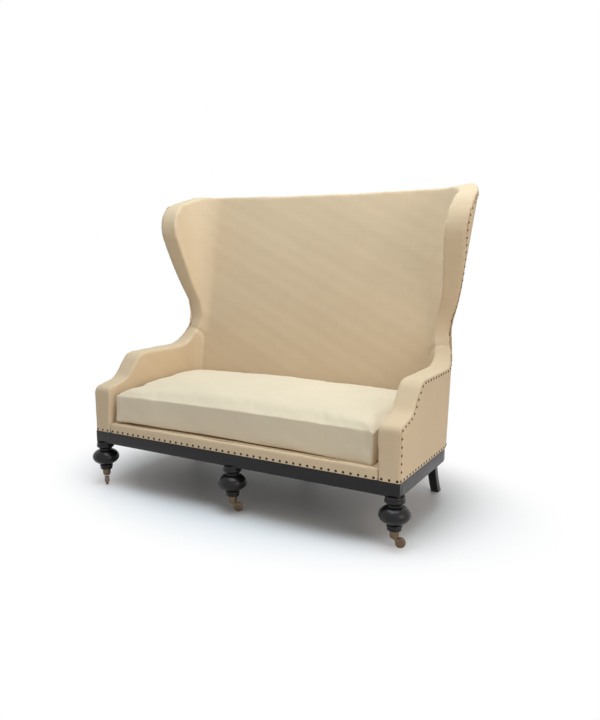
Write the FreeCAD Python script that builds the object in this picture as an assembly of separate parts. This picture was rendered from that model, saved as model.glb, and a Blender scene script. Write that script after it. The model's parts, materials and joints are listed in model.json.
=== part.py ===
import FreeCAD, Part

import math
import os

from FreeCAD import Vector

# High back settee with wings, turned front legs on castors and sabre rear legs.
# Millimetres. While it is modelled, X is 0 in the middle, Y is 0 at the body's
# front face and grows to the rear, and Z is 0 on the floor. The finished pieces
# are moved so that the origin is under the middle of the whole object.

# Clearances
SOFT_GAP = 0.3
PIN_FIT = 0.05
SWIVEL_GAP = 0.1
REACH = 60.0
SHORTEST_EDGE = 0.001

# Plinth
PLINTH_BOTTOM = 203.0
PLINTH_HEIGHT = 54.0
PLINTH_THICK = 54.0
BODY_WIDTH = 1504.0
PLINTH_DEPTH = 670.0
PLINTH_CORNER = 184.0

# Upholstered shell, outside
BACK_OVERHANG = 22.0
BACK_RAKE_DEG = 9.8
CORNER_LOW = 193.0
CORNER_HIGH = 282.0
FLARE_RISE = 497.0
FLARE_DEG = 6.6
TOP_RISE = 1106.0
CREST_DIP = 13.0

# Upholstered shell, inside
ARM_THICK = 86.0
WING_THICK = 96.0
BACK_THICK_LOW = 88.0
BACK_THICK_HIGH = 84.0
INNER_CORNER_LOW = 45.0
INNER_CORNER_MIDDLE = 68.0
INNER_CORNER_HIGH = 150.0

# Side outline of arm and wing: distance behind the front face, height above
# the plinth, and the radius that rounds the corner
ARM_NOSE_RISE = 205.0
ARM_NOSE_ROUND = 28.0
ARM_DIP_BACK = 122.0
ARM_DIP_RISE = 232.0
ARM_DIP_ROUND = 90.0
ARM_SHOULDER_BACK = 214.0
ARM_TOP_RISE = 341.0
ARM_SHOULDER_ROUND = 80.0
WING_FOOT_BACK = 663.0
WING_FOOT_ROUND = 165.0
WING_SEAM_RISE = 80.0
WING_HOLLOW_BACK = 672.0
WING_HOLLOW_RISE = 553.0
WING_HOLLOW_ROUND = 180.0
WING_PEAK_BACK = 512.0
WING_PEAK_RISE = 1014.0
WING_PEAK_ROUND = 146.0
WING_CREST_BACK = 785.0
WING_CREST_ROUND = 120.0

# Layers of the shell, from the outside in
COVER_THICK = 10.0
BOARD_THICK = 28.0
BORDER_DEPTH = 25.0

# Seat frame
SEAT_RAIL_HEIGHT = 25.0
FRONT_RAIL_DEPTH = 45.0
RAIL_LEDGE = 32.0
STRETCHER_WIDTH = 45.0
STRETCHER_SPACING = 480.0
STRETCHER_COUNT = 2
BLOCK_LEG = 90.0
DUST_COVER_THICK = 1.5
DUST_COVER_RECESS = 3.0

# Webbing and deck
STRAP_WIDTH = 50.0
STRAP_THICK = 1.5
LONG_STRAP_COUNT = 5
SHORT_STRAP_COUNT = 13
STRAP_HOLD = 24.0
DECK_RISE = 44.0

# Upper frame
POST_WIDTH = 45.0
CORNER_POST_FROM_REAR = 170.0
BACK_SPLIT_X = 560.0
ARM_BOARD_RISE = 140.0
BACK_RAIL_HEIGHT = 80.0
MIDDLE_RAIL_RISE = 350.0
STILE_WIDTH = 50.0
STILE_SPACING = 370.0
STILE_COUNT = 2

# Seat cushion
CUSHION_SIDE_GAP = 9.0
CUSHION_REAR_GAP = 2.0
CUSHION_SET_BACK = 8.0
CUSHION_HEIGHT = 136.0
CUSHION_REAR_LIFT = 20.0
CUSHION_CROWN = 42.0
CUSHION_END_CROWN = 12.0
CUSHION_DRAW_IN = 5.0
CUSHION_FRONT_ROUND = 22.0

# Turned front legs
LEG_INSET_X = 28.0
LEG_INSET_Y = 26.0
TENON_RADIUS = 12.5
TENON_LENGTH = 42.0
COLLAR_RADIUS = 37.5
COLLAR_HEIGHT = 28.0
COLLAR_BULGE = 1.5
COLLAR_DRAW_IN = 4.0
NECK_RADIUS = 30.0
NECK_HEIGHT = 9.0
BALL_RADIUS = 61.0
BALL_HEIGHT = 71.0
FOOT_COLLAR_RADIUS = 29.0
FOOT_COLLAR_HEIGHT = 15.0
FOOT_COLLAR_BULGE = 3.0
FOOT_RING_RADIUS = 27.0
FOOT_RING_BULGE = 1.5
SPIGOT_RADIUS = 15.0

# Castors
CUP_TOP = 70.0
CUP_BOTTOM = 43.5
CUP_BASE = 4.0
CUP_WALL = 3.6
CUP_FOOT_WALL = 1.6
WHEEL_RADIUS = 19.8
WHEEL_WIDTH = 14.0
WHEEL_EDGE = 1.6
HUB_RADIUS = 7.0
HUB_STAND = 0.6
CASTOR_TRAIL = 23.2
STEM_RADIUS = 4.0
STEM_HEAD_RADIUS = 6.0
STEM_HEAD_HEIGHT = 2.5
HEAD_ROOM = 2.0
FORK_DISC_RADIUS = 13.0
FORK_DISC_THICK = 3.8
CHEEK_THICK = 3.0
CHEEK_RADIUS = 8.0
CHEEK_GAP = 0.4
AXLE_RADIUS = 2.5
AXLE_STAND = 0.8
CASTOR_TURN_DEG = {"left": -44.6, "middle": 29.4, "right": 29.4}

# Sabre rear legs
REAR_LEG_WIDTH = 36.0
REAR_LEG_FROM_SIDE = 89.0
REAR_LEG_FROM_REAR = 58.0
MIDDLE_REAR_LEG_FROM_REAR = 34.0
REAR_LEG_SWEEP = 75.0
REAR_LEG_BOW = 14.0
REAR_TENON_RADIUS = 10.0
REAR_TENON_LENGTH = 40.0

# Upholstery nails
NAIL_RADIUS = 5.3
NAIL_DOME = 2.6
NAIL_SHANK_RADIUS = 0.8
NAIL_SHANK = 8.0
NAIL_PITCH = 31.0
NAIL_EDGE = 11.0
NAIL_FOOT_RISE = 8.0
NAIL_FRONT_SET_BACK = 9.0

# Levels and places that follow from the sizes above
body_low = PLINTH_BOTTOM + PLINTH_HEIGHT
body_top = body_low + TOP_RISE
flare_start = body_low + FLARE_RISE
loft_top = body_top + REACH
rail_top = body_low + SEAT_RAIL_HEIGHT
strap_top = rail_top + 2 * STRAP_THICK
deck_top = body_low + DECK_RISE
half_width = BODY_WIDTH / 2
side_reach = BODY_WIDTH
rear_end = 2 * PLINTH_DEPTH
top_end = loft_top + REACH
frame_outside = COVER_THICK + SOFT_GAP
frame_inside = frame_outside + BOARD_THICK
pad_outside = frame_inside + SOFT_GAP
frame_front = BORDER_DEPTH + SOFT_GAP
post_rear = frame_front + POST_WIDTH
front_rail_rear = frame_front + FRONT_RAIL_DEPTH
leg_x = half_width - LEG_INSET_X
leg_places = {"left": -leg_x, "middle": 0.0, "right": leg_x}
rear_leg_x = half_width - REAR_LEG_FROM_SIDE
rear_leg_y = PLINTH_DEPTH - REAR_LEG_FROM_REAR
middle_rear_leg_y = PLINTH_DEPTH - MIDDLE_REAR_LEG_FROM_REAR
corner_post_start = PLINTH_DEPTH - CORNER_POST_FROM_REAR


def blend(low, high, share):
    return low + (high - low) * share


def outer_section(z, inset):
    """Half width, rear and corner radius of the shell's outside at height z."""
    rise = z - body_low
    half = half_width + max(0.0, z - flare_start) * math.tan(math.radians(FLARE_DEG))
    rear = PLINTH_DEPTH + BACK_OVERHANG + rise * math.tan(math.radians(BACK_RAKE_DEG))
    corner = blend(CORNER_LOW, CORNER_HIGH, rise / TOP_RISE)
    return half - inset, rear - inset, corner - inset


def inner_section(z, inset):
    """The same for the shell's inside, which the seat space fills."""
    rise = z - body_low
    half, rear, _ = outer_section(z, 0.0)
    half -= blend(ARM_THICK, WING_THICK, min(1.0, rise / FLARE_RISE))
    rear -= blend(BACK_THICK_LOW, BACK_THICK_HIGH, rise / TOP_RISE)
    if rise < FLARE_RISE:
        corner = blend(INNER_CORNER_LOW, INNER_CORNER_MIDDLE, rise / FLARE_RISE)
    else:
        above = (rise - FLARE_RISE) / (TOP_RISE - FLARE_RISE)
        corner = blend(INNER_CORNER_MIDDLE, INNER_CORNER_HIGH, above)
    return half - inset, rear - inset, corner - inset


def cushion_section(z, inset):
    half, rear, corner = inner_section(z, inset)
    return half + inset - CUSHION_SIDE_GAP, rear, corner


def plinth_section(z, inset):
    return half_width - inset, PLINTH_DEPTH - inset, PLINTH_CORNER - inset


def plan_wire(z, half, rear, corner, front):
    """Closed outline seen from above: straight sides and rounded rear corners."""
    corner = max(corner, SHORTEST_EDGE)
    straight = rear - corner
    bend = corner * (1 - math.sqrt(0.5))
    left_arc = Part.Arc(
        Vector(-half, straight, z),
        Vector(-half + bend, rear - bend, z),
        Vector(-half + corner, rear, z),
    )
    right_arc = Part.Arc(
        Vector(half - corner, rear, z),
        Vector(half - bend, rear - bend, z),
        Vector(half, straight, z),
    )
    return Part.Wire([
        Part.makeLine(Vector(-half, front, z), Vector(-half, straight, z)),
        left_arc.toShape(),
        Part.makeLine(Vector(-half + corner, rear, z), Vector(half - corner, rear, z)),
        right_arc.toShape(),
        Part.makeLine(Vector(half, straight, z), Vector(half, front, z)),
        Part.makeLine(Vector(half, front, z), Vector(-half, front, z)),
    ])


def shell_loft(section, inset):
    """Solid inside one of the shell's surfaces, from the plinth to above the top."""
    levels = (body_low - REACH, body_low, flare_start, loft_top)
    wires = [plan_wire(z, *section(z, inset), -REACH) for z in levels]
    return Part.makeLoft(wires, True, True)


def rounded_edges(corners, place):
    """Lines and tangent arcs round a closed outline of (a, b, radius) corners."""
    count = len(corners)
    points = [Vector(a, b, 0) for a, b, _ in corners]
    sides = [points[(i + 1) % count] - points[i] for i in range(count)]
    half_turns = [sides[i - 1].getAngle(sides[i]) / 2 for i in range(count)]
    reaches = [corners[i][2] * math.tan(half_turns[i]) for i in range(count)]
    wanted = [reaches[i] + reaches[(i + 1) % count] for i in range(count)]
    room = [sides[i].Length / max(sides[i].Length, wanted[i]) for i in range(count)]
    reaches = [reaches[i] * min(room[i - 1], room[i]) for i in range(count)]
    tangents = []
    for i, here in enumerate(points):
        before = Vector(sides[i - 1]).normalize() * -1
        after = Vector(sides[i]).normalize()
        depth = reaches[i] * math.tan(half_turns[i] / 2)
        deep = here + (before + after).normalize() * depth if depth else here
        tangents.append((here + before * reaches[i], deep, here + after * reaches[i]))
    edges = []
    for i, (start, deep, end) in enumerate(tangents):
        if reaches[i]:
            arc = Part.Arc(place(start), place(deep), place(end))
            edges.append(arc.toShape())
        follower = tangents[(i + 1) % count][0]
        if follower.distanceToPoint(end) > SHORTEST_EDGE:
            edges.append(Part.makeLine(place(end), place(follower)))
    return edges


def inset_corners(corners, amount):
    """The outline moved inwards by amount, its radii kept concentric."""
    count = len(corners)
    moved = []
    for i, (a, b, radius) in enumerate(corners):
        a0, b0 = corners[i - 1][:2]
        a1, b1 = corners[(i + 1) % count][:2]
        into = Vector(a - a0, b - b0, 0).normalize()
        out = Vector(a1 - a, b1 - b, 0).normalize()
        turn = into.x * out.y - into.y * out.x
        share = amount / (1 + into.dot(out))
        moved_a = a - (into.y + out.y) * share
        moved_b = b + (into.x + out.x) * share
        if radius and turn > 0:
            radius = max(radius - amount, 1.0)
        elif radius:
            radius += amount
        moved.append((moved_a, moved_b, radius))
    return moved


# Seen from the right, counter-clockwise from the front foot of the arm
side_outline = [
    (0.0, body_low, 0.0),
    (rear_end + REACH, body_low, 0.0),
    (rear_end + REACH, body_top, 0.0),
    (WING_CREST_BACK, body_top, WING_CREST_ROUND),
    (WING_PEAK_BACK, body_low + WING_PEAK_RISE, WING_PEAK_ROUND),
    (WING_HOLLOW_BACK, body_low + WING_HOLLOW_RISE, WING_HOLLOW_ROUND),
    (WING_FOOT_BACK, body_low + ARM_TOP_RISE, WING_FOOT_ROUND),
    (ARM_SHOULDER_BACK, body_low + ARM_TOP_RISE, ARM_SHOULDER_ROUND),
    (ARM_DIP_BACK, body_low + ARM_DIP_RISE, ARM_DIP_ROUND),
    (0.0, body_low + ARM_NOSE_RISE, ARM_NOSE_ROUND),
]


def under_crest(inset):
    """All that lies under the crest of the back, which dips towards the middle."""
    top_half = outer_section(body_top, 0.0)[0]
    crest_low = body_top - CREST_DIP - inset
    crest_end = body_top - inset
    crest = Part.Wire([
        Part.makeLine(Vector(-top_half, -REACH, 0), Vector(top_half, -REACH, 0)),
        Part.makeLine(Vector(top_half, -REACH, 0), Vector(top_half, -REACH, crest_end)),
        Part.Arc(
            Vector(top_half, -REACH, crest_end),
            Vector(0, -REACH, crest_low),
            Vector(-top_half, -REACH, crest_end),
        ).toShape(),
        Part.makeLine(Vector(-top_half, -REACH, crest_end), Vector(-top_half, -REACH, 0)),
    ])
    return Part.Face(crest).extrude(Vector(0, REACH + rear_end, 0))


def in_side_outline(inset):
    """All that lies inside the side outline of arm and wing and under the crest."""
    corners = inset_corners(side_outline, inset)
    edges = rounded_edges(corners, lambda p: Vector(-side_reach, p.x, p.y))
    profile = Part.Face(Part.Wire(edges)).extrude(Vector(2 * side_reach, 0, 0))
    return profile.common(under_crest(inset))


def box(x0, x1, y0, y1, z0, z1):
    return Part.makeBox(x1 - x0, y1 - y0, z1 - z0, Vector(x0, y0, z0))


def mirrored(shape):
    return shape.mirror(Vector(0, 0, 0), Vector(1, 0, 0))


def turned(points):
    """Solid turned about the Z axis from a closed outline of (radius, z) points.
    A point with more values is reached by an arc that bulges by them."""
    edges = []
    for i, point in enumerate(points):
        before = points[i - 1]
        start = Vector(before[0], 0, before[1])
        end = Vector(point[0], 0, point[1])
        if len(point) > 2:
            height = point[3] if len(point) > 3 else 0.0
            middle = (start + end) * 0.5 + Vector(point[2], 0, height)
            edges.append(Part.Arc(start, middle, end).toShape())
        else:
            edges.append(Part.makeLine(start, end))
    face = Part.Face(Part.Wire(edges))
    return face.revolve(Vector(0, 0, 0), Vector(0, 0, 1), 360)


outer_shell = shell_loft(outer_section, 0.0)
frame_shell = shell_loft(outer_section, frame_outside)
frame_core = shell_loft(outer_section, frame_inside)
pad_core = shell_loft(outer_section, pad_outside)
ledge_core = shell_loft(outer_section, frame_inside + RAIL_LEDGE)
seat_space = shell_loft(inner_section, 0.0)
side_body = in_side_outline(0.0)
side_frame_body = in_side_outline(BORDER_DEPTH + SOFT_GAP)
side_padded_body = in_side_outline(BORDER_DEPTH)

pieces = {}


def make_plinth():
    solid = Part.Face(plan_wire(PLINTH_BOTTOM, *plinth_section(0, 0.0), 0.0))
    solid = solid.extrude(Vector(0, 0, PLINTH_HEIGHT))
    middle = Part.Face(plan_wire(PLINTH_BOTTOM, *plinth_section(0, PLINTH_THICK), PLINTH_THICK))
    middle = middle.extrude(Vector(0, 0, PLINTH_HEIGHT))
    ring = solid.cut(middle)
    corner_y = PLINTH_DEPTH - PLINTH_CORNER
    corner_x = half_width - PLINTH_CORNER
    low, high = PLINTH_BOTTOM, body_low
    front = ring.common(box(-half_width, half_width, 0, PLINTH_THICK, low, high))
    for x in leg_places.values():
        hole = Part.makeCylinder(TENON_RADIUS + PIN_FIT, TENON_LENGTH + SWIVEL_GAP, Vector(x, LEG_INSET_Y, low))
        front = front.cut(hole)
    side = ring.common(box(0, half_width, PLINTH_THICK, corner_y, low, high))
    corner = ring.common(box(corner_x, half_width, corner_y, PLINTH_DEPTH, low, high))
    back = ring.common(box(-corner_x, corner_x, corner_y, PLINTH_DEPTH, low, high))
    corner = corner.cut(rear_tenon_hole(rear_leg_x, rear_leg_y))
    back = back.cut(rear_tenon_hole(0.0, middle_rear_leg_y))
    pieces["plinth_front"] = front
    pieces["plinth_right"] = side
    pieces["plinth_left"] = mirrored(side)
    pieces["plinth_corner_right"] = corner
    pieces["plinth_corner_left"] = mirrored(corner)
    pieces["plinth_back"] = back


def rear_tenon_hole(x, y):
    return Part.makeCylinder(
        REAR_TENON_RADIUS + PIN_FIT, REAR_TENON_LENGTH + SWIVEL_GAP, Vector(x, y, PLINTH_BOTTOM)
    )


def make_base_bracing():
    low = PLINTH_BOTTOM + DUST_COVER_RECESS + DUST_COVER_THICK + SOFT_GAP
    inner_x = half_width - PLINTH_THICK
    triangle = Part.makePolygon([
        Vector(inner_x, PLINTH_THICK, low),
        Vector(inner_x - BLOCK_LEG, PLINTH_THICK, low),
        Vector(inner_x, PLINTH_THICK + BLOCK_LEG, low),
        Vector(inner_x, PLINTH_THICK, low),
    ])
    block = Part.Face(triangle).extrude(Vector(0, 0, body_low - low))
    pieces["corner_blocks"] = Part.makeCompound([block, mirrored(block)])
    stretchers = []
    for i in range(STRETCHER_COUNT):
        x = (i - (STRETCHER_COUNT - 1) / 2) * STRETCHER_SPACING
        stretchers.append(box(
            x - STRETCHER_WIDTH / 2, x + STRETCHER_WIDTH / 2,
            PLINTH_THICK, PLINTH_DEPTH - PLINTH_THICK, low, body_low,
        ))
    pieces["seat_stretchers"] = Part.makeCompound(stretchers)
    sheet_low = PLINTH_BOTTOM + DUST_COVER_RECESS
    outline = plan_wire(sheet_low, *plinth_section(0, PLINTH_THICK + SOFT_GAP), PLINTH_THICK + SOFT_GAP)
    pieces["dust_cover"] = Part.Face(outline).extrude(Vector(0, 0, DUST_COVER_THICK))


def make_seat_rails():
    band = frame_shell.cut(ledge_core)
    ring = band.common(box(-side_reach, side_reach, frame_front, rear_end, body_low, rail_top))
    side = ring.common(box(0, side_reach, frame_front, corner_post_start, body_low, rail_top))
    back = ring.common(box(-side_reach, side_reach, corner_post_start, rear_end, body_low, rail_top))
    inner_x = half_width - frame_inside - RAIL_LEDGE
    pieces["seat_rail_right"] = side
    pieces["seat_rail_left"] = mirrored(side)
    pieces["seat_rail_back"] = back
    pieces["seat_rail_front"] = box(-inner_x, inner_x, frame_front, front_rail_rear, body_low, rail_top)


def make_webbing():
    half, rear, _ = outer_section(rail_top, frame_inside)
    inner_half = half - RAIL_LEDGE
    inner_rear = rear - RAIL_LEDGE
    long_straps = []
    first = front_rail_rear + STRAP_WIDTH
    last = corner_post_start - STRAP_WIDTH
    for i in range(LONG_STRAP_COUNT):
        y = blend(first, last, i / (LONG_STRAP_COUNT - 1))
        long_straps.append(box(
            -inner_half - STRAP_HOLD, inner_half + STRAP_HOLD,
            y - STRAP_WIDTH / 2, y + STRAP_WIDTH / 2, rail_top, rail_top + STRAP_THICK,
        ))
    short_straps = []
    end_x = inner_half - CORNER_LOW
    for i in range(SHORT_STRAP_COUNT):
        x = blend(-end_x, end_x, i / (SHORT_STRAP_COUNT - 1))
        strap = box(
            x - STRAP_WIDTH / 2, x + STRAP_WIDTH / 2,
            front_rail_rear - STRAP_HOLD, inner_rear + STRAP_HOLD,
            rail_top + STRAP_THICK, strap_top,
        )
        for y in (front_rail_rear - STRAP_HOLD, inner_rear):
            foot = box(x - STRAP_WIDTH / 2, x + STRAP_WIDTH / 2, y, y + STRAP_HOLD, rail_top, strap_top)
            strap = strap.fuse(foot)
        short_straps.append(strap.removeSplitter())
    pieces["webbing_side_to_side"] = Part.makeCompound(long_straps)
    pieces["webbing_front_to_back"] = Part.makeCompound(short_straps)


def make_deck():
    deck_low = strap_top + SOFT_GAP
    deck_front = BORDER_DEPTH + SOFT_GAP
    shrunk = shell_loft(inner_section, SOFT_GAP)
    room = box(-side_reach, side_reach, deck_front, rear_end, deck_low, deck_top - SOFT_GAP)
    pieces["deck_pad"] = shrunk.common(room)
    half = inner_section(body_low, SOFT_GAP)[0]
    upper_half = inner_section(deck_top, SOFT_GAP)[0]
    pieces["front_border"] = box(
        -min(half, upper_half), min(half, upper_half),
        0.0, BORDER_DEPTH, body_low + SOFT_GAP, deck_top - SOFT_GAP,
    )


def right_of(shape, x):
    return shape.common(box(x, side_reach, -REACH, rear_end, 0, top_end))


def between(shape, x):
    return shape.common(box(-x, x, -REACH, rear_end, 0, top_end))


def make_upper_frame():
    band = frame_shell.cut(frame_core)
    band = band.common(box(-side_reach, side_reach, 0, rear_end, rail_top, top_end))
    side = right_of(band, 0.0).common(side_frame_body)
    arm = side.common(box(0, side_reach, 0, corner_post_start, 0, top_end))
    board_low = body_low + ARM_BOARD_RISE
    post = arm.common(box(0, side_reach, 0, post_rear, 0, top_end))
    board = arm.common(box(0, side_reach, post_rear, corner_post_start, board_low, top_end))
    wing = side.common(box(BACK_SPLIT_X, side_reach, corner_post_start, rear_end, 0, top_end))
    pieces["arm_post_right"] = post
    pieces["arm_post_left"] = mirrored(post)
    pieces["arm_board_right"] = board
    pieces["arm_board_left"] = mirrored(board)
    pieces["wing_frame_right"] = wing
    pieces["wing_frame_left"] = mirrored(wing)
    back = between(band, BACK_SPLIT_X).common(under_crest(BORDER_DEPTH + SOFT_GAP))
    half = BACK_SPLIT_X
    top_low = body_top - BORDER_DEPTH - CREST_DIP - BACK_RAIL_HEIGHT
    middle_low = body_low + MIDDLE_RAIL_RISE
    middle_top = middle_low + BACK_RAIL_HEIGHT
    pieces["back_rail_top"] = back.common(box(-half, half, 0, rear_end, top_low, top_end))
    pieces["back_rail_middle"] = back.common(box(-half, half, 0, rear_end, middle_low, middle_top))
    stiles = []
    for i in range(STILE_COUNT):
        x = (i - (STILE_COUNT - 1) / 2) * STILE_SPACING
        left, right = x - STILE_WIDTH / 2, x + STILE_WIDTH / 2
        stiles.append(back.common(box(left, right, 0, rear_end, rail_top, middle_low)))
        stiles.append(back.common(box(left, right, 0, rear_end, middle_top, top_low)))
    pieces["back_stiles"] = Part.makeCompound(stiles)


def make_pads():
    shell = shell_loft(outer_section, COVER_THICK + SOFT_GAP).cut(seat_space)
    under_deck = box(-side_reach, side_reach, BORDER_DEPTH, rear_end, 0, strap_top + SOFT_GAP)
    plinth_gap = box(-side_reach, side_reach, -REACH, rear_end, 0, body_low + SOFT_GAP)
    shell = shell.cut(under_deck).cut(plinth_gap)
    right = right_of(shell, BACK_SPLIT_X + SOFT_GAP).common(side_body)
    right = right.common(pad_core).fuse(right.cut(side_padded_body)).removeSplitter()
    seam_z = body_low + ARM_TOP_RISE + WING_SEAM_RISE
    arm = right.common(box(0, side_reach, -REACH, rear_end, 0, seam_z))
    wing = right.common(box(0, side_reach, -REACH, rear_end, seam_z + SOFT_GAP, top_end))
    pieces["arm_pad_right"] = arm
    pieces["arm_pad_left"] = mirrored(arm)
    pieces["wing_pad_right"] = wing
    pieces["wing_pad_left"] = mirrored(wing)
    back = between(shell, BACK_SPLIT_X).common(under_crest(0.0))
    pieces["back_pad"] = back.cut(under_crest(BORDER_DEPTH).cut(pad_core))


def make_covers():
    skin = outer_shell.cut(shell_loft(outer_section, COVER_THICK))
    skin = skin.cut(box(-side_reach, side_reach, -REACH, rear_end, 0, body_low + SOFT_GAP))
    side = right_of(skin, BACK_SPLIT_X + SOFT_GAP).common(side_body)
    pieces["outer_side_right"] = side
    pieces["outer_side_left"] = mirrored(side)
    pieces["outer_back"] = between(skin, BACK_SPLIT_X).common(under_crest(0.0))


def make_cushion():
    low = deck_top
    seam = deck_top + CUSHION_HEIGHT
    half = inner_section(deck_top, CUSHION_SIDE_GAP)[0]
    front = CUSHION_SET_BACK
    rear = inner_section(seam, 0.0)[1] + REACH
    rear_seam = seam + CUSHION_REAR_LIFT
    stations = (-1.0, -0.86, -0.5, 0.0, 0.5, 0.86, 1.0)
    wires = []
    for share in stations:
        x = share * half
        crown = blend(CUSHION_CROWN, CUSHION_END_CROWN, share * share)
        corners = [Vector(x, front, low), Vector(x, rear, low), Vector(x, rear, rear_seam), Vector(x, front, seam)]
        top = Part.Arc(corners[2], Vector(x, (front + rear) / 2, seam + CUSHION_REAR_LIFT / 2 + crown), corners[3])
        wires.append(Part.Wire([
            Part.makeLine(corners[0], corners[1]),
            Part.makeLine(corners[1], corners[2]),
            top.toShape(),
            Part.makeLine(corners[3], corners[0]),
        ]))
    block = Part.makeLoft(wires, True, False)
    outline = [
        (-half, front, CUSHION_FRONT_ROUND),
        (0.0, front + CUSHION_DRAW_IN, 8 * half),
        (half, front, CUSHION_FRONT_ROUND),
        (half, rear, 0.0),
        (-half, rear, 0.0),
    ]
    edges = rounded_edges(outline, lambda p: Vector(p.x, p.y, low - REACH))
    plan = Part.Face(Part.Wire(edges)).extrude(Vector(0, 0, CUSHION_HEIGHT + 3 * REACH))
    room = shell_loft(cushion_section, CUSHION_REAR_GAP)
    pieces["seat_cushion"] = block.common(plan).common(room)


def make_front_leg(side):
    collar_low = PLINTH_BOTTOM - COLLAR_HEIGHT
    ball_top = collar_low - NECK_HEIGHT
    ball_low = ball_top - BALL_HEIGHT
    foot_low = ball_low - FOOT_COLLAR_HEIGHT
    spigot_low = CUP_BOTTOM + CUP_BASE + SWIVEL_GAP
    recess_top = spigot_low + STEM_HEAD_HEIGHT + HEAD_ROOM
    recess_radius = STEM_HEAD_RADIUS + HEAD_ROOM
    tenon_top = PLINTH_BOTTOM + TENON_LENGTH
    leg = turned([
        (0.0, recess_top),
        (recess_radius, recess_top),
        (recess_radius, spigot_low),
        (SPIGOT_RADIUS, spigot_low),
        (SPIGOT_RADIUS, CUP_TOP),
        (FOOT_RING_RADIUS, CUP_TOP),
        (FOOT_RING_RADIUS, foot_low, FOOT_RING_BULGE),
        (FOOT_COLLAR_RADIUS, foot_low),
        (FOOT_COLLAR_RADIUS, ball_low, FOOT_COLLAR_BULGE),
        (NECK_RADIUS, ball_low),
        (NECK_RADIUS, ball_top, BALL_RADIUS - NECK_RADIUS),
        (COLLAR_RADIUS, collar_low, -COLLAR_DRAW_IN),
        (COLLAR_RADIUS, PLINTH_BOTTOM, COLLAR_BULGE),
        (TENON_RADIUS, PLINTH_BOTTOM),
        (TENON_RADIUS, tenon_top),
        (0.0, tenon_top),
    ])
    leg.translate(Vector(leg_places[side], LEG_INSET_Y, 0))
    pieces["leg_front_" + side] = leg


def make_rear_leg(side, x, y):
    half = REAR_LEG_WIDTH / 2
    top = PLINTH_BOTTOM
    foot = y + REAR_LEG_SWEEP
    middle = (y + foot) / 2 - REAR_LEG_BOW
    edges = [
        Part.makeLine(Vector(x - half, y - half, top), Vector(x - half, y + half, top)),
        Part.Arc(
            Vector(x - half, y + half, top),
            Vector(x - half, middle + half, top / 2),
            Vector(x - half, foot + half, 0),
        ).toShape(),
        Part.makeLine(Vector(x - half, foot + half, 0), Vector(x - half, foot - half, 0)),
        Part.Arc(
            Vector(x - half, foot - half, 0),
            Vector(x - half, middle - half, top / 2),
            Vector(x - half, y - half, top),
        ).toShape(),
    ]
    leg = Part.Face(Part.Wire(edges)).extrude(Vector(REAR_LEG_WIDTH, 0, 0))
    tenon = Part.makeCylinder(REAR_TENON_RADIUS, REAR_TENON_LENGTH, Vector(x, y, top))
    pieces["leg_rear_" + side] = leg.fuse(tenon).removeSplitter()


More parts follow.
